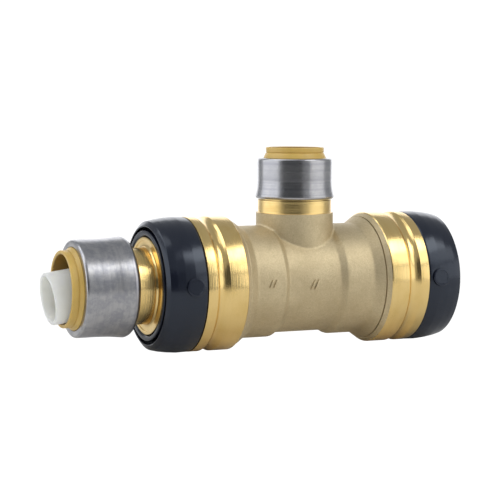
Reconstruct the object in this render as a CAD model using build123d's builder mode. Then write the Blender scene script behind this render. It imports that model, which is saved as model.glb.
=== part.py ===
from build123d import *
from dataclasses import dataclass
from math import cos, radians, sin
import os

# A push to connect reducing tee in forged brass, in millimetres.
# X runs along the run of the tee, Z along the branch, and the origin is where their axes cross.
# The -X port of the run holds a reducer, which brings that port down to a smaller tube.

# Tubes that the ports take
run_tube_r = 20.64
reducer_tube_r = 14.29
branch_tube_r = 11.11
socket_gap = 0.11  # radial play of a tube in its socket
tip_gap = 0.14  # seals and grab teeth stand this far off a tube
bore_gap = 0.31  # release rings stand this far off a tube

# Tee body: cast shell, outside
waist_r = 22.55
waist_half = 12.2
barrel_r = 24.25
barrel_start = 14.8
barrel_end = 27.6
land_r = 28.75
land_start = 34.0
groove_start = 42.0
groove_depth = 0.85
groove_end = 47.7
land_end = 51.85
spigot_r = 26.9
spigot_end = 60.0
boss_r = 16.8
boss_top = 29.6
boss_band_r = 16.0
cast_fillet_r = 1.6

# Tee body: run sockets, outwards from the branch axis
waterway_r = 18.8
run_stop = 17.0
run_seal = 33.0
run_seal_r = 24.4
run_clamp = 41.0
run_clamp_r = 25.0

# Run ports: end collar, release ring and the parts clamped behind them
clip_groove = 55.0
clip_width = 2.0
clip_depth = 0.5
collar_start = 51.95
collar_face = 69.3
collar_mouth_r = 24.9
collar_guide_r = 22.55
collar_ledge = 57.0
collar_recess = 62.5
collar_sleeve_r = 23.9
collar_sleeve_end = 49.25
lug_at = 57.5
lug_r = 4.0
lug_top = 29.75
lug_tilt = 3.6
ring_face = 69.6
ring_lip_r = 23.4
ring_lip_back = 66.0
ring_barrel_r = 22.4
ring_hook_r = 23.1
ring_nose = 49.0
run_teeth = 22

# Small ports: distances back from the cap's front face
cap_sheet = 0.65
spigot_back = 3.3
hook_front = 0.95
hook_back = 4.3
nose_back = 6.7
washer_front = 6.5
washer_back = 8.5
grab_back = 8.95
grab_thick = 0.4
teeth_back = 10.2
small_clamp_back = 10.3
retainer_back = 13.6
small_teeth = 16

# Reducer: stem and neck, outwards from the branch axis
stem_end = 17.4
stem_face = 69.4
stem_bore_r = 18.6
stem_bore_end = 60.0
throat_r = 12.6
throat_start = 66.0
neck_r = 16.15
neck_fillet_r = 3.0
face_recess = 0.35
face_rim_r = 19.3
shell_start = 78.6
shell_corner_r = 1.9
reducer_stop = 73.0

# Tube liner: a loose sleeve that has slid part of the way out and hangs on the collar's lip
liner_r = 11.0
liner_bore_r = 9.3
liner_length = 25.5
liner_flange_r = 13.3
liner_flange = 1.5
liner_tilt = 7.85
liner_end_x = -111.9
liner_end_z = -3.9

# Each port's plane has its first axis radial and its second along the port, outwards
right_port = Plane(origin=(0, 0, 0), x_dir=(0, 0, 1), z_dir=(0, 1, 0))
left_port = Plane(origin=(0, 0, 0), x_dir=(0, 0, 1), z_dir=(0, -1, 0))
branch_port = Plane.XZ


@dataclass
class SmallPort:
    """A small socket under a steel cap; lengths are along the port from the tee's centre."""

    plane: Plane
    tube_r: float
    stop: float
    cap_base: float
    cap_waist: float
    cap_face: float
    cap_base_r: float
    cap_waist_r: float
    cap_mouth_r: float
    cap_shoulder_r: float
    cap_roll_r: float
    cap_roll_end: float
    spigot_r: float
    clamp_r: float
    seal_thick: float
    lip_r: float
    lip: float
    step: float

    @property
    def seal_r(self):
        return self.tube_r + tip_gap + self.seal_thick + 0.1

    @property
    def seal_start(self):
        return self.cap_face - retainer_back - self.seal_thick - 0.4


branch = SmallPort(
    plane=branch_port,
    tube_r=branch_tube_r,
    stop=28.0,
    cap_base=35.6,
    cap_waist=43.5,
    cap_face=53.3,
    cap_base_r=17.1,
    cap_waist_r=16.2,
    cap_mouth_r=13.8,
    cap_shoulder_r=1.9,
    cap_roll_r=1.3,
    cap_roll_end=60,
    spigot_r=15.35,
    clamp_r=14.35,
    seal_thick=2.3,
    lip_r=12.64,
    lip=57.95,
    step=55.7,
)
reducer = SmallPort(
    plane=left_port,
    tube_r=reducer_tube_r,
    stop=reducer_stop,
    cap_base=77.9,
    cap_waist=92.0,
    cap_face=101.5,
    cap_base_r=21.15,
    cap_waist_r=20.4,
    cap_mouth_r=17.5,
    cap_shoulder_r=2.6,
    cap_roll_r=2.9,
    cap_roll_end=75,
    spigot_r=19.5,
    clamp_r=18.3,
    seal_thick=2.9,
    lip_r=16.15,
    lip=106.2,
    step=103.3,
)


def axis_of(plane):
    return Axis(plane.origin, plane.y_dir)


def cut_tooth_slots(plane, count, width, inner_r, outer_r, start, end):
    """Cuts the slots between grab teeth, all round the ring in the current part."""
    middle = plane.origin + plane.y_dir * ((start + end) / 2)
    across = Plane(origin=middle, x_dir=plane.x_dir, z_dir=plane.y_dir)
    with BuildSketch(across.offset(-(end - start) / 2)) as slots:
        with PolarLocations((inner_r + outer_r) / 2, count):
            Rectangle(outer_r - inner_r, width)
    extrude(slots.sketch, amount=end - start, mode=Mode.SUBTRACT)


def write(piece, name):
    piece.part.label = name
    export_step(piece.part, f"parts/{name}.step")


os.makedirs("parts", exist_ok=True)

# ---- Tee body: one brass forging, machined at its three ends ----

with BuildPart() as tee_body:
    with BuildSketch(right_port) as run_half:
        with BuildLine():
            groove_middle = (groove_start + groove_end) / 2
            Polyline(
                (0, 0),
                (waist_r, 0),
                (waist_r, waist_half),
                (barrel_r, barrel_start),
                (barrel_r, barrel_end),
                (land_r - 0.45, land_start - 0.55),
                (land_r, land_start),
                (land_r, groove_start),
                (land_r - groove_depth, groove_middle),
                (land_r, groove_end),
                (land_r, land_end),
                (spigot_r, land_end),
                (spigot_r, clip_groove),
                (spigot_r - clip_depth, clip_groove),
                (spigot_r - clip_depth, clip_groove + clip_width),
                (spigot_r, clip_groove + clip_width),
                (spigot_r, spigot_end),
                (0, spigot_end),
                close=True,
            )
        make_face()
        foot = run_half.vertices().sort_by_distance((barrel_r, barrel_end))[0]
        fillet(foot, radius=3)
        steps = [(waist_r, waist_half), (barrel_r, barrel_start)]
        fillet([run_half.vertices().sort_by_distance(step)[0] for step in steps], radius=1.5)
    revolve(axis=Axis.X)
    mirror(about=Plane.YZ)
    with BuildSketch(branch_port):
        with BuildLine():
            Polyline(
                (0, 0),
                (boss_r, 0),
                (boss_r, boss_top - 0.5),
                (boss_r - 0.3, boss_top),
                (boss_band_r, boss_top),
                (boss_band_r, branch.cap_base + 0.4),
                (branch.spigot_r, branch.cap_base + 0.4),
                (branch.spigot_r, branch.cap_face - spigot_back),
                (0, branch.cap_face - spigot_back),
                close=True,
            )
        make_face()
    revolve(axis=Axis.Z)
    junction = [
        edge
        for edge in tee_body.edges()
        if waist_half < edge.center().Z < barrel_r
        and abs((edge @ 0.5).X ** 2 + (edge @ 0.5).Y ** 2 - boss_r**2) < 0.5
    ]
    fillet(junction, radius=cast_fillet_r)
    with BuildSketch(right_port):
        with BuildLine():
            socket_r = run_tube_r + socket_gap
            Polyline(
                (0, 0),
                (waterway_r, 0),
                (waterway_r, run_stop),
                (socket_r, run_stop),
                (socket_r, run_seal - 0.6),
                (socket_r + 0.6, run_seal),
                (run_seal_r, run_seal),
                (run_seal_r, run_clamp),
                (run_clamp_r, run_clamp),
                (run_clamp_r, spigot_end),
                (0, spigot_end),
                close=True,
            )
        make_face()
    run_bore = revolve(axis=Axis.X, mode=Mode.SUBTRACT)
    mirror(run_bore, about=Plane.YZ, mode=Mode.SUBTRACT)
    with BuildSketch(branch_port):
        with BuildLine():
            throat = branch.tube_r - 1.6
            socket_r = branch.tube_r + socket_gap
            clamp_start = branch.cap_face - small_clamp_back
            Polyline(
                (0, 0),
                (throat, 0),
                (throat, branch.stop),
                (socket_r, branch.stop),
                (socket_r, branch.seal_start - 0.4),
                (socket_r + 0.4, branch.seal_start),
                (branch.seal_r, branch.seal_start),
                (branch.seal_r, clamp_start),
                (branch.clamp_r, clamp_start),
                (branch.clamp_r, branch.cap_face - spigot_back),
                (0, branch.cap_face - spigot_back),
                close=True,
            )
        make_face()
    revolve(axis=Axis.Z, mode=Mode.SUBTRACT)
write(tee_body, "tee_body")

# ---- Run ports: the same seven parts on each side ----

for side, port in (("left", left_port), ("right", right_port)):
    port_axis = axis_of(port)

    with BuildPart() as end_collar:
        with BuildSketch(port) as section:
            with BuildLine():
                inside_r = spigot_r + 0.05
                bead_r = inside_r - clip_depth + 0.1
                Polyline(
                    (inside_r, collar_start),
                    (28.3, collar_start),
                    (28.6, collar_start + 0.3),
                    (28.85, lug_at),
                    (28.35, 61.8),
                    (27.5, 67.0),
                    (26.9, collar_face),
                    (collar_mouth_r, collar_face),
                    (collar_mouth_r, collar_recess),
                    (collar_guide_r, collar_recess),
                    (collar_guide_r, collar_ledge),
                    (collar_sleeve_r, collar_ledge),
                    (collar_sleeve_r, collar_sleeve_end),
                    (collar_mouth_r, collar_sleeve_end),
                    (collar_mouth_r, spigot_end + 0.05),
                    (inside_r, spigot_end + 0.05),
                    (inside_r, clip_groove + clip_width - 0.1),
                    (bead_r, clip_groove + clip_width - 0.1),
                    (bead_r, clip_groove + 0.9),
                    (inside_r, clip_groove + 0.1),
                    close=True,
                )
            make_face()
            brow = section.vertices().sort_by_distance((26.9, collar_face))[0]
            fillet(brow, radius=0.9)
            crown = section.vertices().sort_by_distance((28.85, lug_at))[0]
            fillet(crown, radius=12)
            rim = section.vertices().sort_by_distance((collar_mouth_r, collar_face))[0]
            fillet(rim, radius=0.4)
        revolve(axis=port_axis)
        along = port.y_dir * lug_at
        for half_turn in (0, 180):
            angle = radians(lug_tilt + half_turn)
            outward = Vector(0, -cos(angle), sin(angle))
            with BuildSketch(Plane(origin=along + outward * (inside_r + 0.6), z_dir=outward)):
                Circle(lug_r)
            extrude(amount=lug_top - inside_r - 0.6)
            tops = end_collar.faces().filter_by(GeomType.PLANE).sort_by_distance(along + outward * lug_top)
            fillet(tops[0].edges(), radius=0.3)
    write(end_collar, f"{side}_end_collar")

    with BuildPart() as release_ring:
        with BuildSketch(port) as section:
            with BuildLine():
                ring_bore_r = run_tube_r + bore_gap
                Polyline(
                    (ring_bore_r, ring_nose),
                    (ring_bore_r + 0.8, ring_nose),
                    (ring_barrel_r - 0.2, ring_nose + 1.2),
                    (ring_barrel_r, collar_ledge - 3.6),
                    (ring_hook_r, collar_ledge - 1.2),
                    (ring_hook_r, collar_ledge - 0.3),
                    (ring_barrel_r, collar_ledge - 0.3),
                    (ring_barrel_r, ring_lip_back),
                    (ring_lip_r, ring_lip_back),
                    (ring_lip_r, ring_face),
                    (ring_bore_r + 0.75, ring_face),
                    (ring_bore_r, ring_face - 0.75),
                    close=True,
                )
            make_face()
            lip = section.vertices().sort_by_distance((ring_lip_r, ring_face))[0]
            fillet(lip, radius=0.6)
        revolve(axis=port_axis)
    write(release_ring, f"{side}_release_ring")

    with BuildPart() as backup_ring:
        with BuildSketch(port) as section:
            with BuildLine():
                Polyline(
                    (23.25, 46.65),
                    (24.85, 46.65),
                    (24.85, 49.2),
                    (23.65, 49.2),
                    (23.25, 48.8),
                    close=True,
                )
            make_face()
        revolve(axis=port_axis)
    write(backup_ring, f"{side}_backup_ring")

    with BuildPart() as grab_ring:
        tip_r = run_tube_r + tip_gap
        with BuildSketch(port) as section:
            with BuildLine():
                Polyline(
                    (24.85, 46.05),
                    (24.85, 46.6),
                    (23.2, 46.6),
                    (tip_r, 44.3),
                    (tip_r + 0.1, 43.85),
                    (23.35, 46.05),
                    close=True,
                )
            make_face()
        revolve(axis=port_axis)
        cut_tooth_slots(port, run_teeth, 1.2, tip_r - 1, 22.9, 43, 47)
    write(grab_ring, f"{side}_grab_ring")

    with BuildPart() as seal_retainer:
        with BuildSketch(port) as section:
            with BuildLine():
                Polyline(
                    (run_tube_r + bore_gap, 37.4),
                    (24.3, 37.4),
                    (24.3, run_clamp + 0.05),
                    (24.85, run_clamp + 0.05),
                    (24.85, 46.0),
                    (23.6, 46.0),
                    (21.7, 42.4),
                    (run_tube_r + bore_gap, 42.4),
                    close=True,
                )
            make_face()
        revolve(axis=port_axis)
    write(seal_retainer, f"{side}_seal_retainer")

    with BuildPart() as o_ring:
        seal_section_r = 1.78
        with BuildSketch(port):
            with Locations((run_tube_r + tip_gap + seal_section_r, 35.2)):
                Circle(seal_section_r)
        revolve(axis=port_axis)
    write(o_ring, f"{side}_o_ring")

# ---- Reducer body: a stem for the run socket, with a smaller socket on its outer end ----

with BuildPart() as reducer_body:
    with BuildSketch(left_port) as section:
        with BuildLine():
            socket_r = reducer.tube_r + socket_gap
            clamp_start = reducer.cap_face - small_clamp_back
            shell_end = reducer.cap_face - spigot_back
            Polyline(
                (stem_bore_r, stem_end),
                (run_tube_r - 0.7, stem_end),
                (run_tube_r, stem_end + 1.4),
                (run_tube_r, stem_face),
                (face_rim_r, stem_face),
                (face_rim_r, stem_face - face_recess),
                (neck_r, stem_face - face_recess),
                (neck_r, shell_start),
                (reducer.spigot_r, shell_start),
                (reducer.spigot_r, shell_end),
                (reducer.clamp_r, shell_end),
                (reducer.clamp_r, clamp_start),
                (reducer.seal_r, clamp_start),
                (reducer.seal_r, reducer.seal_start),
                (socket_r + 0.4, reducer.seal_start),
                (socket_r, reducer.seal_start - 0.4),
                (socket_r, reducer.stop),
                (throat_r, reducer.stop),
                (throat_r, throat_start),
                (stem_bore_r, stem_bore_end),
                close=True,
            )
        make_face()
        neck_corner = section.vertices().sort_by_distance((neck_r, stem_face - face_recess))[0]
        fillet(neck_corner, radius=neck_fillet_r)
        stem_corner = section.vertices().sort_by_distance((run_tube_r, stem_face))[0]
        chamfer(stem_corner, length=0.15)
        shell_foot = section.vertices().sort_by_distance((neck_r, shell_start))[0]
        fillet(shell_foot, radius=0.8)
        shell_corner = section.vertices().sort_by_distance((reducer.spigot_r, shell_start))[0]
        fillet(shell_corner, radius=shell_corner_r)
    revolve(axis=axis_of(left_port))
write(reducer_body, "reducer_body")

# ---- Small ports: the branch and the reducer's outer end ----

for name, port in (("branch", branch), ("reducer", reducer)):
    port_axis = axis_of(port.plane)
    face = port.cap_face

    with BuildPart() as cap:
        with BuildSketch(port.plane) as section:
            with BuildLine():
                roll_start = port.cap_base + port.cap_roll_r
                middle_r = (port.cap_base_r + 3 * port.cap_waist_r) / 4
                middle = (roll_start + port.cap_waist) / 2
                flare = [
                    (port.cap_base_r, roll_start),
                    (middle_r, middle),
                    (port.cap_waist_r, port.cap_waist),
                ]
                inner_flare = [(r - cap_sheet, t) for r, t in flare]
                roll_centre_r = port.cap_base_r - port.cap_roll_r
                inner_roll_r = port.cap_roll_r - cap_sheet
                rolls = {port.cap_roll_r: [], inner_roll_r: []}
                for roll_r, roll in rolls.items():
                    for share in (1, 0.5, 0):
                        angle = radians(port.cap_roll_end * share)
                        point = (roll_centre_r + roll_r * cos(angle), roll_start - roll_r * sin(angle))
                        roll.append(point)
                outer_roll, inner_roll = rolls.values()
                ThreePointArc(*outer_roll)
                ThreePointArc(*flare)
                Polyline(
                    flare[-1],
                    (port.cap_waist_r + 0.05, face),
                    (port.cap_mouth_r, face),
                    (port.cap_mouth_r, face - cap_sheet),
                    (port.cap_waist_r + 0.05 - cap_sheet, face - cap_sheet),
                    inner_flare[-1],
                )
                ThreePointArc(*reversed(inner_flare))
                ThreePointArc(*reversed(inner_roll))
                Line(inner_roll[0], outer_roll[0])
            make_face()
            corner = (port.cap_waist_r, face)
            outer = section.vertices().sort_by_distance(corner)[0]
            fillet(outer, radius=port.cap_shoulder_r)
            corner = (port.cap_waist_r - cap_sheet, face - cap_sheet)
            inner = section.vertices().sort_by_distance(corner)[0]
            fillet(inner, radius=port.cap_shoulder_r - cap_sheet)
            mouth = section.vertices().sort_by_distance((port.cap_mouth_r, face))[0]
            fillet(mouth, radius=0.2)
        revolve(axis=port_axis)
    write(cap, f"{name}_cap")

    with BuildPart() as release_collar:
        with BuildSketch(port.plane) as section:
            with BuildLine():
                bore_r = port.tube_r + 0.2
                hook_r = port.clamp_r - 0.12
                flare_r = port.cap_mouth_r - 0.2
                Polyline(
                    (bore_r, face - nose_back),
                    (bore_r + 0.6, face - nose_back),
                    (port.clamp_r - 1.75, face - nose_back + 0.7),
                    (port.clamp_r - 1.75, face - hook_back),
                    (hook_r, face - hook_back + 0.6),
                    (hook_r, face - hook_front),
                    (flare_r, face - hook_front),
                    (flare_r, face + 0.2),
                    (port.lip_r + 0.05, port.step - 0.25),
                    (port.lip_r - 0.2, port.step - 0.1),
                    (port.lip_r - 0.2, port.step + 0.1),
                    (port.lip_r, port.step + 0.25),
                    (port.lip_r, port.lip),
                    (bore_r, port.lip),
                    close=True,
                )
            make_face()
            edge = section.vertices().sort_by_distance((port.lip_r, port.lip))[0]
            fillet(edge, radius=0.35)
            entry = section.vertices().sort_by_distance((bore_r, port.lip))[0]
            chamfer(entry, length=0.45)
        revolve(axis=port_axis)
    write(release_collar, f"{name}_release_collar")

    with BuildPart() as backup_ring:
        with BuildSketch(port.plane) as section:
            with BuildLine():
                washer_r = port.clamp_r - 1.45
                Polyline(
                    (washer_r, face - washer_back),
                    (port.clamp_r - 0.1, face - washer_back),
                    (port.clamp_r - 0.1, face - washer_front),
                    (washer_r + 0.3, face - washer_front),
                    (washer_r, face - washer_front - 0.3),
                    close=True,
                )
            make_face()
        revolve(axis=port_axis)
    write(backup_ring, f"{name}_backup_ring")

    with BuildPart() as grab_ring:
        tip_r = port.tube_r + tip_gap
        root_r = port.clamp_r - 1.6
        with BuildSketch(port.plane) as section:
            with BuildLine():
                Polyline(
                    (port.clamp_r - 0.1, face - grab_back),
                    (port.clamp_r - 0.1, face - grab_back + grab_thick),
                    (root_r, face - grab_back + grab_thick),
                    (tip_r, face - teeth_back + grab_thick),
                    (tip_r + 0.1, face - teeth_back),
                    (root_r + 0.1, face - grab_back),
                    close=True,
                )
            make_face()
        revolve(axis=port_axis)
        cut_tooth_slots(port.plane, small_teeth, 0.8, tip_r - 1, root_r - 0.2, face - 11, face - 8)
    write(grab_ring, f"{name}_grab_ring")

    with BuildPart() as seal_retainer:
        with BuildSketch(port.plane) as section:
            with BuildLine():
                guide_r = port.tube_r + bore_gap
                clamp_start = face - small_clamp_back
                Polyline(
                    (guide_r, face - retainer_back),
                    (port.seal_r - 0.1, face - retainer_back),
                    (port.seal_r - 0.1, clamp_start + 0.05),
                    (port.clamp_r - 0.1, clamp_start + 0.05),
                    (port.clamp_r - 0.1, face - grab_back - 0.05),
                    (port.clamp_r - 1.3, face - grab_back - 0.05),
                    (guide_r + 0.25, face - teeth_back - 0.9),
                    (guide_r, face - teeth_back - 0.9),
                    close=True,
                )
            make_face()
        revolve(axis=port_axis)
    write(seal_retainer, f"{name}_seal_retainer")

    with BuildPart() as o_ring:
        seal_middle = face - retainer_back - port.seal_thick / 2 - 0.2
        with BuildSketch(port.plane):
            with Locations((port.tube_r + tip_gap + port.seal_thick / 2, seal_middle)):
                Circle(port.seal_thick / 2)
        revolve(axis=port_axis)
    write(o_ring, f"{name}_o_ring")

# ---- Tube liner: a plastic sleeve with a flange on its inner end ----

with BuildPart() as tube_liner:
    tilt = radians(liner_tilt)
    outward = Vector(-cos(tilt), 0, -sin(tilt))
    liner_plane = Plane(
        origin=Vector(liner_end_x, 0, liner_end_z) - outward * liner_length,
        x_dir=(-sin(tilt), 0, cos(tilt)),
        z_dir=(0, -1, 0),
    )
    with BuildSketch(liner_plane) as section:
        with BuildLine():
            Polyline(
                (liner_bore_r, 0),
                (liner_flange_r, 0),
                (liner_flange_r, liner_flange),
                (liner_r, liner_flange),
                (liner_r, liner_length),
                (liner_bore_r, liner_length),
                close=True,
            )
        make_face()
        rims = [(liner_r, liner_length), (liner_bore_r, liner_length)]
        fillet([section.vertices().sort_by_distance(rim)[0] for rim in rims], radius=0.75)
    revolve(axis=axis_of(liner_plane))
write(tube_liner, "tube_liner")
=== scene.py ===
import math

import bpy
from mathutils import Matrix, Vector


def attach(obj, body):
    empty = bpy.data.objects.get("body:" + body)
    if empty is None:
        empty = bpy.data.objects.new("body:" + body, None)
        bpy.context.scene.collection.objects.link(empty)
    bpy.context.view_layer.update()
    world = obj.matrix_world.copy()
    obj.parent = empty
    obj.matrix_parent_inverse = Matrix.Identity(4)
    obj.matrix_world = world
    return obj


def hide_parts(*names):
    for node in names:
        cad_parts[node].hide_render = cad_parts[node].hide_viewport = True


# Looks for a push to connect reducing tee. Outlines are in millimetres, everything in Blender in metres.

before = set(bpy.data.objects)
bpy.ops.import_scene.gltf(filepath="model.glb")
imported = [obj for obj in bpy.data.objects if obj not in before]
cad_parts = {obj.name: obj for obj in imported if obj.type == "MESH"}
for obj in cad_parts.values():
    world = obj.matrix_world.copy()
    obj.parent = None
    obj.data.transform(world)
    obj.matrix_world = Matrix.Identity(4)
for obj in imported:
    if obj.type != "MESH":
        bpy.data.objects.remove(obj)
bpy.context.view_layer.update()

MM = 0.001
EDGE = 0.12  # a machined edge's usual rounding, in millimetres
SMOOTH_BELOW = math.radians(28)

LINER_TILT = math.radians(7.85)
LINER_LENGTH = 25.5
LINER_OUT = Vector((-math.cos(LINER_TILT), 0, -math.sin(LINER_TILT)))
LINER_END = Vector((-111.9, 0, -3.9))

# Each port's starting point, and the direction out of it
PORTS = {
    "right": (Vector((0, 0, 0)), Vector((1, 0, 0))),
    "left": (Vector((0, 0, 0)), Vector((-1, 0, 0))),
    "branch": (Vector((0, 0, 0)), Vector((0, 0, 1))),
    "liner": (LINER_END - LINER_OUT * LINER_LENGTH, LINER_OUT),
}


# ---- Shader arithmetic ----


class Level:
    """One number in a material. It takes part in ordinary sums."""

    def __init__(self, paint, socket):
        self.paint = paint
        self.socket = socket

    def sum_with(self, operation, *others):
        inputs = dict(enumerate([self, *others]))
        made = self.paint.node("ShaderNodeMath", {"operation": operation}, inputs)
        return Level(self.paint, made.outputs[0])

    def __add__(self, other):
        return self.sum_with("ADD", other)

    def __mul__(self, other):
        return self.sum_with("MULTIPLY", other)

    def __radd__(self, other):
        return self + other

    def __rmul__(self, other):
        return self * other

    def power(self, other):
        return self.sum_with("POWER", other)

    def ramp(self, low, high):
        """0 below low, 1 above high, and smooth between them."""
        inputs = {"Value": self, "From Min": low, "From Max": high}
        settings = {"interpolation_type": "SMOOTHSTEP"}
        made = self.paint.node("ShaderNodeMapRange", settings, inputs)
        return Level(self.paint, made.outputs["Result"])


class Paint:
    """A material under way: a Principled surface, and the nodes that feed it."""

    def __init__(self, name):
        self.material = bpy.data.materials.new(name)
        self.material.use_nodes = True
        self.tree = self.material.node_tree
        self.surface = self.tree.nodes["Principled BSDF"]
        place = self.node("ShaderNodeTexCoord", {}, {}).outputs["Object"]
        self.place = place
        split = self.node("ShaderNodeSeparateXYZ", {}, {0: place})
        self.x, self.y, self.z = (Level(self, split.outputs[i]) for i in range(3))

    def node(self, kind, settings, inputs):
        """Any node: its settings, and a value or another node's output for each named input."""
        made = self.tree.nodes.new(kind)
        for key, value in settings.items():
            setattr(made, key, value)
        for key, value in inputs.items():
            if isinstance(value, Level):
                value = value.socket
            if isinstance(value, bpy.types.NodeSocket):
                self.tree.links.new(value, made.inputs[key])
            else:
                made.inputs[key].default_value = value
        return made

    def noise(self, scale, detail=3.0, rough=0.55):
        """Cloudy variation from 0 to 1. scale is in repeats per metre."""
        inputs = {"Vector": self.place, "Scale": scale, "Detail": detail, "Roughness": rough}
        made = self.node("ShaderNodeTexNoise", {}, inputs)
        return Level(self, made.outputs[0])

    def lines(self, along, scale):
        """Fine uneven lines across one direction, as a tool leaves."""
        inputs = {"W": along, "Scale": scale, "Detail": 2.0}
        made = self.node("ShaderNodeTexNoise", {"noise_dimensions": "1D"}, inputs)
        return Level(self, made.outputs[0])

    def mix(self, share, one, two):
        """A colour from one to two by share."""
        inputs = {0: share, 6: one, 7: two}
        made = self.node("ShaderNodeMix", {"data_type": "RGBA"}, inputs)
        return made.outputs[2]

    def bump(self, height, distance, strength=1.0):
        inputs = {"Height": height, "Distance": distance, "Strength": strength}
        return self.node("ShaderNodeBump", {}, inputs).outputs[0]

    def finish(self, **inputs):
        """Sets or links the surface's inputs and gives the material. An underscore stands for a space."""
        for key, value in inputs.items():
            socket = self.surface.inputs[key.replace("_", " ").title().replace("Ior", "IOR")]
            if isinstance(value, Level):
                value = value.socket
            if isinstance(value, bpy.types.NodeSocket):
                self.tree.links.new(value, socket)
            else:
                socket.default_value = value
        return self.material


def colour(red, green, blue):
    return (red, green, blue, 1.0)


# ---- Materials ----


def blasted_brass():
    """The forging's outside: shot-blasted brass, dull and grainy, with darker patches and bright flecks."""
    p = Paint("blasted_brass")
    patches = p.noise(70, 4)
    grain = p.noise(1500, 4, rough=0.65)
    pits = p.noise(640, 5, rough=0.7)
    stain = p.noise(230, 5, rough=0.65).ramp(0.5, 0.78)
    flecks = p.noise(2100, 2).ramp(0.62, 0.78)
    tone = p.mix(patches.ramp(0.3, 0.7), colour(0.58, 0.47, 0.285), colour(0.68, 0.565, 0.355))
    tone = p.mix(stain * 0.3, tone, colour(0.43, 0.34, 0.185))
    tone = p.mix(grain.ramp(0.3, 0.7) * 0.3, tone, colour(0.38, 0.305, 0.17))
    tone = p.mix(pits.ramp(0.6, 0.74) * 0.35, tone, colour(0.24, 0.185, 0.095))
    tone = p.mix(flecks * 0.35, tone, colour(0.92, 0.82, 0.58))
    return p.finish(
        base_color=tone,
        metallic=0.75,
        roughness=0.40 + 0.20 * grain,
        normal=p.bump(grain * 0.6 + pits, 0.22 * MM, 0.7),
    )


def turned_brass(name, axis, pitch, depth, dull):
    """Bright machined brass. The tool's fine rings spread what it reflects along the axis."""
    p = Paint(name)
    light = colour(0.88, 0.65, 0.28)
    deep = colour(0.78, 0.55, 0.20)
    along = {"x": p.x, "z": p.z}[axis]
    rings = p.lines(along, 1 / pitch)
    broad = p.lines(along, 420)
    handling = p.noise(120, 4).ramp(0.45, 0.75)
    tone = p.mix(broad * 0.5 + handling * 0.5, light, deep)
    return p.finish(
        base_color=tone,
        metallic=1.0,
        roughness=dull + 0.08 * rings + 0.06 * handling,
        normal=p.bump(rings, depth, 0.6),
    )


def brushed_steel(name, axis, depth, dull, stains):
    """Thin pressed stainless sheet, brushed around the port and dulled in patches."""
    p = Paint(name)
    along = {"x": p.x, "z": p.z}[axis]
    rings = p.lines(along, 2100)
    wide = p.lines(along, 480)
    patches = p.noise(240, 6, rough=0.7)
    mottle = p.noise(800, 4, rough=0.6)
    tone = p.mix(patches.ramp(0.42, 0.6) * stains, colour(0.45, 0.445, 0.45), colour(0.30, 0.305, 0.335))
    tone = p.mix(mottle.ramp(0.35, 0.75) * 0.25, tone, colour(0.47, 0.465, 0.46))
    tone = p.mix(wide.ramp(0.42, 0.66) * 0.4, tone, colour(0.30, 0.30, 0.33))
    return p.finish(
        base_color=tone,
        metallic=1.0,
        roughness=dull + 0.03 * mottle + 0.04 * patches,
        normal=p.bump(rings * 0.5 + wide, depth, 0.5),
    )


def spring_steel():
    p = Paint("spring_steel")
    patches = p.noise(400, 4)
    tone = p.mix(patches, colour(0.52, 0.51, 0.50), colour(0.66, 0.65, 0.63))
    return p.finish(
        base_color=tone,
        metallic=1.0,
        roughness=0.20 + 0.12 * patches,
        normal=p.bump(patches, 0.03 * MM, 0.4),
    )


def black_plastic(name, rough=0.17):
    """Moulded black nylon with a faint blue cast, fine grain and some handling marks."""
    p = Paint(name)
    grain = p.noise(2400, 2)
    scuffs = p.noise(160, 5, rough=0.7).ramp(0.5, 0.78)
    tone = p.mix(scuffs, colour(0.0055, 0.007, 0.0145), colour(0.010, 0.0125, 0.022))
    return p.finish(
        base_color=tone,
        roughness=rough + 0.08 * scuffs + 0.05 * grain,
        specular_ior_level=0.6,
        specular_tint=colour(0.78, 0.87, 1.0),
        normal=p.bump(grain, 0.03 * MM, 0.35),
    )


def tan_plastic(name, axis, bore_r):
    """Moulded tan acetal, a little translucent, with painted shade that makes it darker inside the bore."""
    p = Paint(name)
    cloud = p.noise(110, 3)
    grain = p.noise(1800, 2)
    across = {"x": (p.y, p.z), "z": (p.x, p.y)}[axis]
    radius = (across[0] * across[0] + across[1] * across[1]).power(0.5)
    # Painted shade: surfaces closer to the axis than the given radius plus 0.25 mm, which is the bore, get
    # a dark tan. It fades out by 0.6 mm.
    clear_of_painted_bore_shade = radius.ramp((bore_r + 0.25) * MM, (bore_r + 0.6) * MM)
    tone = p.mix(cloud.ramp(0.3, 0.7), colour(0.58, 0.385, 0.088), colour(0.65, 0.44, 0.115))
    # The dark tan here is painted shade inside the bore, not the plastic's own colour.
    tone = p.mix(clear_of_painted_bore_shade, colour(0.27, 0.15, 0.025), tone)
    return p.finish(
        base_color=tone,
        roughness=0.34 + 0.10 * grain,
        subsurface_weight=0.08,
        subsurface_radius=(0.003, 0.0016, 0.0006),
        subsurface_scale=1.0,
        normal=p.bump(grain, 0.02 * MM, 0.3),
    )


def grey_plastic():
    p = Paint("grey_plastic")
    cloud = p.noise(200, 3)
    grain = p.noise(2000, 2)
    tone = p.mix(cloud, colour(0.16, 0.165, 0.17), colour(0.22, 0.225, 0.23))
    return p.finish(base_color=tone, roughness=0.45 + 0.1 * grain, normal=p.bump(grain, 0.02 * MM, 0.3))


def seal_rubber():
    p = Paint("seal_rubber")
    grain = p.noise(3000, 2)
    cloud = p.noise(300, 3)
    tone = p.mix(cloud, colour(0.012, 0.012, 0.012), colour(0.025, 0.024, 0.023))
    return p.finish(base_color=tone, roughness=0.5 + 0.15 * grain, normal=p.bump(grain, 0.02 * MM, 0.4))


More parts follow.
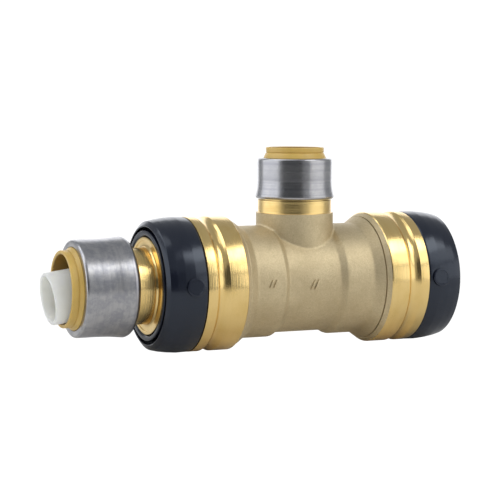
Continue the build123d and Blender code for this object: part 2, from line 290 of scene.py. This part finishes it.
def white_liner():
    """Thin natural polyethylene: milky, so that light comes through its wall."""
    p = Paint("white_liner")
    cloud = p.noise(140, 3)
    grain = p.noise(1600, 2)
    tone = p.mix(cloud.ramp(0.3, 0.7), colour(0.86, 0.865, 0.76), colour(0.92, 0.925, 0.84))
    return p.finish(
        base_color=tone,
        roughness=0.40 + 0.1 * grain,
        transmission_weight=0.15,
        subsurface_weight=0.9,
        subsurface_radius=(0.009, 0.009, 0.0075),
        subsurface_scale=1.0,
        normal=p.bump(grain, 0.02 * MM, 0.25),
    )


# ---- Modelling ----


def rounded(outline):
    """Rounds the corners of a closed outline. A corner's third number is its radius."""
    points = []
    for i, corner in enumerate(outline):
        here = Vector(corner[:2])
        one = Vector(outline[i - 1][:2]) - here
        two = Vector(outline[(i + 1) % len(outline)][:2]) - here
        radius = corner[2] if len(corner) > 2 else EDGE
        turn = math.pi - one.angle(two)
        if radius == 0 or turn < math.radians(4):
            points.append(tuple(here))
            continue
        reach = min(radius * math.tan(turn / 2), 0.45 * min(one.length, two.length))
        start = here + one.normalized() * reach
        end = here + two.normalized() * reach
        count = 2 + int(turn / math.radians(30)) + int(radius > 1) * 4
        for step in range(count + 1):
            s = step / count
            point = start * (1 - s) ** 2 + here * 2 * s * (1 - s) + end * s**2
            points.append(tuple(point))
    return points


def turned(name, port, outline, steps=128):
    """A ring: a closed outline of (radius, distance out of the port), turned around the port's axis."""
    start, out = PORTS[port]
    points = rounded(outline)
    radius, distance = points[0]
    bpy.ops.object.select_all(action="DESELECT")
    bpy.ops.mesh.primitive_circle_add(
        vertices=steps,
        radius=radius * MM,
        location=(start + out * distance) * MM,
        rotation=out.to_track_quat("Z", "Y").to_euler(),
    )
    piece = bpy.context.object
    piece.name = name
    bpy.ops.object.mode_set(mode="EDIT")
    bpy.ops.mesh.select_mode(type="VERT")
    bpy.ops.mesh.select_all(action="SELECT")
    for next_radius, next_distance in points[1:] + points[:1]:
        step = out * (next_distance - distance) * MM
        bpy.ops.mesh.extrude_region_move(TRANSFORM_OT_translate={"value": step})
        centre = (start + out * next_distance) * MM
        bpy.ops.transform.resize(value=[next_radius / radius] * 3, center_override=centre)
        radius, distance = next_radius, next_distance
    bpy.ops.mesh.select_all(action="SELECT")
    bpy.ops.mesh.remove_doubles(threshold=1e-6)
    bpy.ops.mesh.normals_make_consistent(inside=False)
    bpy.ops.object.mode_set(mode="OBJECT")
    settle(piece)
    return piece


def settle(piece):
    """Puts the piece's place into its mesh, and smooths its shading up to the real edges."""
    bpy.ops.object.select_all(action="DESELECT")
    piece.select_set(True)
    bpy.context.view_layer.objects.active = piece
    bpy.ops.object.transform_apply(location=True, rotation=True, scale=True)
    bpy.ops.object.shade_smooth_by_angle(angle=SMOOTH_BELOW)


def apply_modifier(piece, kind, **settings):
    bpy.context.view_layer.objects.active = piece
    modifier = piece.modifiers.new(kind.lower(), kind)
    for key, value in settings.items():
        setattr(modifier, key, value)
    bpy.ops.object.modifier_apply(modifier=modifier.name)


def combine(piece, other, operation):
    """Adds another solid to the piece, or cuts it away, and removes the other one."""
    apply_modifier(piece, "BOOLEAN", operation=operation, object=other, solver="EXACT")
    bpy.data.objects.remove(other)


def rod(name, port, radius, near, far, steps=128):
    """A plain cylinder along a port, used to cut or to add."""
    start, out = PORTS[port]
    bpy.ops.object.select_all(action="DESELECT")
    bpy.ops.mesh.primitive_cylinder_add(
        vertices=steps,
        radius=radius * MM,
        depth=(far - near) * MM,
        location=(start + out * (near + far) / 2) * MM,
        rotation=out.to_track_quat("Z", "Y").to_euler(),
    )
    bpy.context.object.name = name
    return bpy.context.object


def dress(piece, body, material):
    """Gives the piece its material, and lets it move with its body."""
    piece.data.materials.clear()
    piece.data.materials.append(material)
    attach(piece, body)
    return piece


# ---- Tee: the cast middle ----

WAIST_R = 22.55  # the middle of the forging
WAIST_END = 12.3
TUBE_R = 24.25  # the wider stretches on both sides of it
TUBE_START = 14.6
BORE_R = 18.8
SOCKET_R = 20.75
SOCKET_START = 17
BRANCH_BORE_R = 9.51
BRANCH_SOCKET_R = 11.22
BRANCH_SOCKET_START = 28
LAND_R = 28.75
BOSS_R = 16.8
BOSS_TOP = 29.6
CAST_END = 31.45
RIM_END = 33.7
SPARE_END = 36.0  # how far the forging is made before its ends are cut off
CUT_END = 40  # safely past every end
# Plain raised bars on the casting: place along the run, height, length and lean
CAST_MARKS = [
    (-1.4, 0.2, 4.6, math.radians(-63)),
    (0.4, 0.2, 4.6, math.radians(-63)),
    (-21.6, 1.4, 3.6, math.radians(-63)),
    (-19.8, 1.4, 3.6, math.radians(-63)),
]


def cast_middle():
    """Run and branch boss in one forging: joined, then softened as a forging die leaves them."""
    half = [
        (WAIST_R, 0, 0),
        (WAIST_R, WAIST_END, 0.6),
        (TUBE_R, TUBE_START, 0.5),
        (TUBE_R, 27.6, 0.8),
        (28.3, 33.45, 0),
        (28.3, SPARE_END, 0),
    ]
    mirrored = [(corner[0], -corner[1], corner[2]) for corner in reversed(half[1:])]
    outline = mirrored + half + [(5, SPARE_END, 0), (5, -SPARE_END, 0)]
    body = turned("cast_body", "right", outline, steps=160)
    core = rod("core", "right", 5.5, -35.9, 35.9, 64)
    combine(body, core, "UNION")
    boss = rod("boss", "branch", BOSS_R, 0, BOSS_TOP + 3, 160)
    combine(body, boss, "UNION")
    apply_modifier(body, "REMESH", mode="VOXEL", voxel_size=0.0005)
    apply_modifier(body, "SMOOTH", factor=0.5, iterations=2)
    bpy.ops.object.mode_set(mode="EDIT")
    cuts = [
        ((CAST_END, 0, 0), (1, 0, 0)),
        ((-CAST_END, 0, 0), (-1, 0, 0)),
        ((0, 0, BOSS_TOP), (0, 0, 1)),
    ]
    for point, normal in cuts:
        bpy.ops.mesh.select_all(action="SELECT")
        place = [value * MM for value in point]
        bpy.ops.mesh.bisect(plane_co=place, plane_no=normal, clear_outer=True, use_fill=True)
    bpy.ops.object.mode_set(mode="OBJECT")
    bores = [
        ("right", BORE_R, -CUT_END),
        ("right", SOCKET_R, SOCKET_START),
        ("left", SOCKET_R, SOCKET_START),
        ("branch", BRANCH_BORE_R, 0),
        ("branch", BRANCH_SOCKET_R, BRANCH_SOCKET_START),
    ]
    for port, radius, near in bores:
        combine(body, rod("cut", port, radius, near, CUT_END), "DIFFERENCE")
    settle(body)
    for x, z, length, lean in CAST_MARKS:
        combine(body, cast_bar(x, z, length, lean), "UNION")
    settle(body)
    return body


def cast_bar(x, z, length, lean):
    """A thin raised bar on the front of the forging, as a die leaves for a plain mark."""
    radius = WAIST_R if abs(x) < WAIST_END else TUBE_R
    angle = math.asin(z / radius)
    side = Vector((0, -math.cos(angle), math.sin(angle)))
    bpy.ops.object.select_all(action="DESELECT")
    bpy.ops.mesh.primitive_cube_add(size=MM, location=(Vector((x, 0, 0)) + side * radius) * MM)
    bar = bpy.context.object
    bar.rotation_euler = (Matrix.Rotation(-angle, 3, "X") @ Matrix.Rotation(lean, 3, "Y")).to_euler()
    bar.scale = (length, 1.2, 0.6)
    bpy.ops.object.transform_apply(location=True, rotation=True, scale=True)
    apply_modifier(bar, "BEVEL", width=0.16 * MM, segments=2)
    settle(bar)
    return bar


def cast_rim(name, port, groove):
    """The rim of the forging, with or without the fine groove that is turned round its shoulder."""
    shoulder = 26.95
    return turned(
        name,
        port,
        [
            (SOCKET_R, CAST_END, 0),
            (shoulder - groove, CAST_END, 0),
            (shoulder - groove, CAST_END + 0.4, 0),
            (shoulder + 0.25, CAST_END + 0.45, 0),
            (28.4, RIM_END, 0),
            (24.4, RIM_END, 0),
            (24.4, 33.0),
            (21.35, 33.0),
            (SOCKET_R, 32.4),
        ],
    )


def run_end(name, port):
    """The machined end of the run: chamfer, land with its round groove, and the collar's spigot."""
    return turned(
        name,
        port,
        [
            (28.4, RIM_END, 0),
            (LAND_R, RIM_END + 0.35, 0.1),
            (LAND_R, 42.0, 0.05),
            (27.95, 43.1, 2),
            (27.65, 44.3, 3),
            (27.65, 45.4, 3),
            (27.95, 46.6, 2),
            (LAND_R, 47.7, 0.05),
            (LAND_R, 51.85),
            (26.9, 51.85),
            (26.9, 60.0),
            (25.0, 60.0),
            (25.0, 41.0),
            (24.4, 41.0),
            (24.4, RIM_END, 0),
        ],
    )


def branch_band():
    """The machined top of the boss, with the spigot that the cap is pressed over."""
    return turned(
        "branch_band",
        "branch",
        [
            (BRANCH_SOCKET_R, BOSS_TOP, 0),
            (16.55, BOSS_TOP - 0.02, 0.05),
            (16.0, BOSS_TOP + 0.1, 0.1),
            (16.0, 35.15, 0.1),
            (15.35, 35.3, 0.05),
            (15.35, 50.0),
            (14.35, 50.0),
            (14.35, 43.0),
            (13.65, 43.0),
            (13.65, 37.3),
            (11.62, 37.3),
            (BRANCH_SOCKET_R, 36.9),
        ],
        steps=96,
    )


# ---- Run ports: collar and release ring ----

LUG_R = 4
LUG_DEPTH = 2.2
LUG_TOP = 29.75
LUG_PLACE = 57.5
LUG_TILT = math.radians(3.6)


def end_collar(name, port):
    """The black collar clipped over a run port, with a round lug on each side."""
    collar = turned(
        name,
        port,
        [
            (26.95, 51.95),
            (28.3, 51.95, 0.3),
            (28.7, 52.6, 0.4),
            (28.85, 57.3, 0.8),
            (28.5, 61.6, 8),
            (27.95, 65.2, 8),
            (27.3, 67.9, 0.4),
            (25.3, 69.3, 0.4),
            (24.9, 69.1, 0.2),
            (24.9, 62.5),
            (22.55, 62.5),
            (22.55, 57.0),
            (23.9, 57.0),
            (23.9, 49.25),
            (24.9, 49.25),
            (24.9, 60.05),
            (26.95, 60.05),
        ],
    )
    out = PORTS[port][1]
    for half_turn in (0, math.pi):
        angle = LUG_TILT + half_turn
        side = Vector((0, -math.cos(angle), math.sin(angle)))
        bpy.ops.object.select_all(action="DESELECT")
        bpy.ops.mesh.primitive_cylinder_add(
            vertices=48,
            radius=LUG_R * MM,
            depth=LUG_DEPTH * MM,
            location=(out * LUG_PLACE + side * (LUG_TOP - LUG_DEPTH / 2)) * MM,
            rotation=side.to_track_quat("Z", "Y").to_euler(),
        )
        lug = bpy.context.object
        bpy.ops.object.mode_set(mode="EDIT")
        bpy.ops.mesh.select_mode(type="FACE")
        bpy.ops.mesh.select_all(action="DESELECT")
        bpy.ops.object.mode_set(mode="OBJECT")
        for face in lug.data.polygons:
            face.select = face.normal.z > 0.9
        bpy.ops.object.mode_set(mode="EDIT")
        bpy.ops.mesh.bevel(offset=0.3 * MM, segments=3, affect="EDGES")
        bpy.ops.mesh.select_all(action="DESELECT")
        bpy.ops.object.mode_set(mode="OBJECT")
        for face in lug.data.polygons:
            face.select = face.normal.z > 0.99 and face.area > 1e-6
        bpy.ops.object.mode_set(mode="EDIT")
        bpy.ops.mesh.inset(thickness=0.7 * MM)
        bpy.ops.mesh.inset(thickness=0.15 * MM, depth=-0.18 * MM)
        bpy.ops.object.mode_set(mode="OBJECT")
        settle(lug)
        combine(collar, lug, "UNION")
    settle(collar)
    return collar


def release_ring(name, port):
    return turned(
        name,
        port,
        [
            (20.95, 49.0),
            (21.75, 49.0),
            (22.2, 50.2),
            (22.4, 53.4),
            (23.1, 55.8),
            (23.1, 56.7),
            (22.4, 56.7),
            (22.4, 66.0),
            (23.4, 66.0),
            (23.4, 69.6, 0.6),
            (21.7, 69.6, 0.3),
            (20.95, 68.85, 0.3),
        ],
    )


# ---- Reducer ----


def reducer_body():
    return turned(
        "reducer_shell",
        "left",
        [
            (18.6, 17.4),
            (19.94, 17.4),
            (20.64, 18.8),
            (20.64, 69.4, 0.2),
            (19.3, 69.4, 0.12),
            (19.2, 69.05, 0.05),
            (16.15, 69.05, 3.0),
            (16.15, 78.6, 0.6),
            (19.5, 78.6, 1.9),
            (19.5, 98.0),
            (18.3, 98.0),
            (18.3, 91.0),
            (17.43, 91.0),
            (17.43, 84.4),
            (14.8, 84.4),
            (14.4, 84.0),
            (14.4, 73.0),
            (12.6, 73.0),
            (12.6, 66.0),
            (18.6, 60.0),
        ],
    )


# ---- Small ports: steel cap and tan release collar ----

CAP_SHEET = 0.65
REDUCER_TUBE_R = 14.29
REDUCER_CLAMP_R = 18.3
REDUCER_MOUTH_R = 17.5
REDUCER_FACE = 101.5
BRANCH_TUBE_R = 11.11
BRANCH_CLAMP_R = 14.35
BRANCH_MOUTH_R = 13.8
BRANCH_FACE = 53.3


def steel_cap(name, port, base, waist, face, base_r, waist_r, mouth_r, shoulder, roll, roll_end):
    """A thin pressed cap: rolled in at its base, hollowed to a waist, and round at its shoulder."""
    roll_start = base + roll
    centre_r = base_r - roll
    middle_r = (base_r + 3 * waist_r) / 4
    middle = (roll_start + waist) / 2
    outline = []
    steps = 6
    for step in range(steps + 1):
        angle = math.radians(roll_end * (1 - step / steps))
        corner = 0.2 if step == 0 else 0
        outline.append((centre_r + roll * math.cos(angle), roll_start - roll * math.sin(angle), corner))
    outline += [
        (middle_r, middle, 14),
        (waist_r, waist, 8),
        (waist_r + 0.05, face, shoulder),
        (mouth_r, face, 0.2),
        (mouth_r, face - CAP_SHEET, 0.1),
        (waist_r + 0.05 - CAP_SHEET, face - CAP_SHEET, shoulder - CAP_SHEET),
        (waist_r - CAP_SHEET, waist, 8),
        (middle_r - CAP_SHEET, middle, 14),
    ]
    for step in range(steps + 1):
        angle = math.radians(roll_end * step / steps)
        inner = roll - CAP_SHEET
        corner = 0.2 if step == steps else 0
        outline.append((centre_r + inner * math.cos(angle), roll_start - inner * math.sin(angle), corner))
    return turned(name, port, outline)


def release_collar(name, port, tube_r, clamp_r, face, mouth_r, step, lip, lip_r):
    """The tan ring pushed in to free a tube: a flare out of the cap, a fine groove and a top ring."""
    bore_r = tube_r + 0.2
    hook_r = clamp_r - 0.12
    return turned(
        name,
        port,
        [
            (bore_r, face - 6.7),
            (bore_r + 0.6, face - 6.7),
            (clamp_r - 1.75, face - 6.0),
            (clamp_r - 1.75, face - 4.3),
            (hook_r, face - 3.7),
            (hook_r, face - 0.95),
            (mouth_r - 0.2, face - 0.95, 0),
            (mouth_r - 0.2, face + 0.2, 0.15),
            (lip_r + 0.05, step - 0.25, 0.1),
            (lip_r - 0.25, step - 0.1, 0.05),
            (lip_r - 0.25, step + 0.1, 0.05),
            (lip_r, step + 0.25, 0.1),
            (lip_r, lip, 0.4),
            (bore_r + 0.45, lip, 0.15),
            (bore_r, lip - 0.45, 0.15),
        ],
        steps=112,
    )


# ---- The whole fitting ----

BRASS_X = turned_brass("turned_brass_run", "x", 0.43 * MM, 0.06 * MM, 0.15)
BRASS_Z = turned_brass("turned_brass_branch", "z", 0.70 * MM, 0.16 * MM, 0.25)
CAST = blasted_brass()
STEEL_X = brushed_steel("brushed_steel_run", "x", 0.10 * MM, 0.26, 0.8)
STEEL_Z = brushed_steel("brushed_steel_branch", "z", 0.06 * MM, 0.22, 0.3)
SPRING = spring_steel()
BLACK = black_plastic("black_collar")
BLACK_RING = black_plastic("black_ring", rough=0.2)
TAN_X = tan_plastic("tan_reducer", "x", REDUCER_TUBE_R)
TAN_Z = tan_plastic("tan_branch", "z", BRANCH_TUBE_R)
GREY = grey_plastic()
RUBBER = seal_rubber()
WHITE = white_liner()

middle = dress(cast_middle(), "tee", CAST)
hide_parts("tee_body")
for side, groove in (("left", 0), ("right", 0.65)):
    dress(cast_rim(side + "_cast_rim", side, groove), "tee", CAST)
    dress(run_end(side + "_run_end", side), "tee", BRASS_X)
dress(branch_band(), "tee", BRASS_Z)

for side in ("left", "right"):
    collar = dress(end_collar(side + "_collar_shell", side), "tee", BLACK)
    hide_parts(side + "_end_collar")
    ring = release_ring(side + "_ring_shell", side)
    dress(ring, side + "_release", BLACK_RING)
    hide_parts(side + "_release_ring")

shell = dress(reducer_body(), "reducer", BRASS_X)
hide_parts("reducer_body")

cap = steel_cap(
    "branch_steel_cap",
    "branch",
    base=35.6,
    waist=43.5,
    face=BRANCH_FACE,
    base_r=17.1,
    waist_r=16.2,
    mouth_r=BRANCH_MOUTH_R,
    shoulder=1.9,
    roll=1.3,
    roll_end=60,
)
dress(cap, "tee", STEEL_Z)
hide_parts("branch_cap")
cap = steel_cap(
    "reducer_steel_cap",
    "left",
    base=77.9,
    waist=92.0,
    face=REDUCER_FACE,
    base_r=21.15,
    waist_r=20.4,
    mouth_r=REDUCER_MOUTH_R,
    shoulder=2.6,
    roll=2.9,
    roll_end=75,
)
dress(cap, "reducer", STEEL_X)
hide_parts("reducer_cap")

ring = release_collar(
    "branch_tan_collar",
    "branch",
    tube_r=BRANCH_TUBE_R,
    clamp_r=BRANCH_CLAMP_R,
    face=BRANCH_FACE,
    mouth_r=BRANCH_MOUTH_R,
    step=55.7,
    lip=57.95,
    lip_r=12.64,
)
dress(ring, "branch_release", TAN_Z)
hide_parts("branch_release_collar")
ring = release_collar(
    "reducer_tan_collar",
    "left",
    tube_r=REDUCER_TUBE_R,
    clamp_r=REDUCER_CLAMP_R,
    face=REDUCER_FACE,
    mouth_r=REDUCER_MOUTH_R,
    step=103.3,
    lip=106.2,
    lip_r=16.15,
)
dress(ring, "reducer_release", TAN_X)
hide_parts("reducer_release_collar")

liner = turned(
    "white_tube_liner",
    "liner",
    [
        (9.3, 0),
        (13.3, 0, 0.3),
        (13.3, 1.5, 0.3),
        (11.0, 1.5, 0.3),
        (11.0, LINER_LENGTH, 0.95),
        (9.3, LINER_LENGTH, 0.8),
    ],
    steps=112,
)
dress(liner, "liner", WHITE)
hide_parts("tube_liner")

KEPT = {"backup_ring": SPRING, "grab_ring": SPRING, "seal_retainer": GREY, "o_ring": RUBBER}
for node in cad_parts.values():
    for ending, material in KEPT.items():
        if node.name.endswith(ending):
            for i in range(len(node.data.materials)):
                node.data.materials[i] = material

# ---- Studio ----

CAMERA_AZIMUTH = math.radians(-23.664)
CAMERA_RISE = math.radians(5.069)
CAMERA_ROLL = math.radians(0.259)
CAMERA_DISTANCE = 0.7169
CAMERA_TARGET = Vector((-0.02109, 0, 0.01367))
FLOOR = -0.02975


def towards(azimuth, rise):
    """The direction from the fitting, azimuth 0 being -Y and 90 +X."""
    return Vector(
        (
            math.sin(azimuth) * math.cos(rise),
            -math.cos(azimuth) * math.cos(rise),
            math.sin(rise),
        )
    )


def emitter(name, tint, strength, base):
    p = Paint(name)
    grain = p.noise(40, 2)
    return p.finish(
        base_color=p.mix(grain, base, colour(*[value * 0.98 for value in base[:3]])),
        roughness=0.9,
        specular_ior_level=0.0,
        emission_color=tint,
        emission_strength=strength,
    )


def floor_paper():
    """Plain pale paper, a little uneven."""
    p = Paint("floor_paper")
    grain = p.noise(40, 2)
    return p.finish(
        base_color=p.mix(grain, colour(0.80, 0.79, 0.77), colour(0.82, 0.81, 0.79)),
        roughness=0.9,
        specular_ior_level=0.0,
    )


def softbox(name, azimuth, rise, distance, width, height, glow, tint=(1, 1, 1), mirrored=True):
    """A soft rectangular light that faces the fitting. glow is how bright it looks."""
    back = towards(math.radians(azimuth), math.radians(rise))
    bpy.ops.object.light_add(type="AREA", location=back * distance)
    lamp = bpy.context.object
    lamp.name = name
    lamp.rotation_euler = back.to_track_quat("Z", "Y").to_euler()
    lamp.data.shape = "RECTANGLE"
    lamp.data.size = width
    lamp.data.size_y = height
    lamp.data.energy = glow * math.pi * width * height
    lamp.data.color = tint
    lamp.visible_camera = False
    lamp.visible_glossy = mirrored


def stage_card(name, place, turn, width, height, material):
    """A flat card, seen only in reflections."""
    bpy.ops.mesh.primitive_plane_add(size=1, location=place)
    board = bpy.context.object
    board.name = name
    board.rotation_euler = turn
    board.scale = (width, height, 1)
    board.data.materials.append(material)
    board.visible_camera = False
    board.visible_shadow = False
    return board


scene = bpy.context.scene
world = bpy.data.worlds.new("studio")
scene.world = world
world.use_nodes = True
world.node_tree.nodes["Background"].inputs["Color"].default_value = colour(0.93, 0.96, 1.0)
world.node_tree.nodes["Background"].inputs["Strength"].default_value = 0.42

bpy.ops.mesh.primitive_circle_add(vertices=96, radius=0.8, fill_type="NGON", location=(0, 0, FLOOR))
floor = bpy.context.object
floor.name = "floor"
floor.data.materials.append(floor_paper())
floor.visible_camera = False

bpy.ops.mesh.primitive_uv_sphere_add(segments=32, ring_count=16, radius=8)
backdrop = bpy.context.object
backdrop.name = "backdrop"
backdrop.data.materials.append(emitter("backdrop_paper", colour(1, 1, 1), 1.1, colour(0, 0, 0)))
for kind in ("diffuse", "glossy", "transmission", "volume_scatter", "shadow"):
    setattr(backdrop, "visible_" + kind, False)

BLACK_CARD = emitter("black_card", colour(0.9, 0.95, 1), 0.07, colour(0.02, 0.02, 0.02))
camera_side = math.degrees(CAMERA_AZIMUTH)
softbox("right_softbox", camera_side + 63, 50, 1.5, 0.9, 0.5, 3.0)
softbox("right_middle", camera_side + 66, 31, 1.55, 1.1, 0.5, 1.3)
softbox("right_panel", camera_side + 74, 6, 1.6, 1.6, 0.75, 0.95)
softbox("left_softbox", camera_side - 84, 52, 1.5, 1.3, 0.9, 1.9, (0.95, 0.97, 1.0))
softbox("left_panel", camera_side - 84, 9, 1.6, 2.1, 1.15, 1.2, (0.93, 0.95, 1.0))
softbox("back_panel", camera_side + 180, 14, 2.0, 2.6, 1.3, 1.2, (0.97, 0.97, 1.0))
softbox("top_softbox", camera_side - 50, 78, 1.4, 0.6, 0.5, 1.1)
softbox("front_fill", camera_side + 25, 24, 1.6, 1.2, 0.6, 1.4, mirrored=False)
# A dark card behind the camera, and one lying on the floor in front of the fitting
behind = towards(math.radians(camera_side - 9), math.radians(12))
facing = behind.to_track_quat("Z", "Y").to_euler()
standing = stage_card("camera_card", behind * 1.1, facing, 1.45, 0.72, BLACK_CARD)
standing.visible_diffuse = False
in_front = towards(CAMERA_AZIMUTH, 0) * 0.66
in_front.z = FLOOR + 2 * MM
stage_card("front_card", in_front, (0, 0, CAMERA_AZIMUTH), 1.6, 0.6, BLACK_CARD)

bpy.ops.object.camera_add()
camera = bpy.context.object
back = towards(CAMERA_AZIMUTH, CAMERA_RISE)
right = Vector((math.cos(CAMERA_AZIMUTH), math.sin(CAMERA_AZIMUTH), 0))
up = back.cross(right)
rolled_right = right * math.cos(CAMERA_ROLL) + up * math.sin(CAMERA_ROLL)
rolled_up = up * math.cos(CAMERA_ROLL) - right * math.sin(CAMERA_ROLL)
turn = Matrix((rolled_right, rolled_up, back)).transposed()
camera.matrix_world = Matrix.Translation(CAMERA_TARGET + back * CAMERA_DISTANCE) @ turn.to_4x4()
camera.data.lens = 119.31
camera.data.sensor_width = 36
camera.data.clip_start = 0.01
camera.data.clip_end = 50
scene.camera = camera
scene.view_settings.view_transform = "Standard"
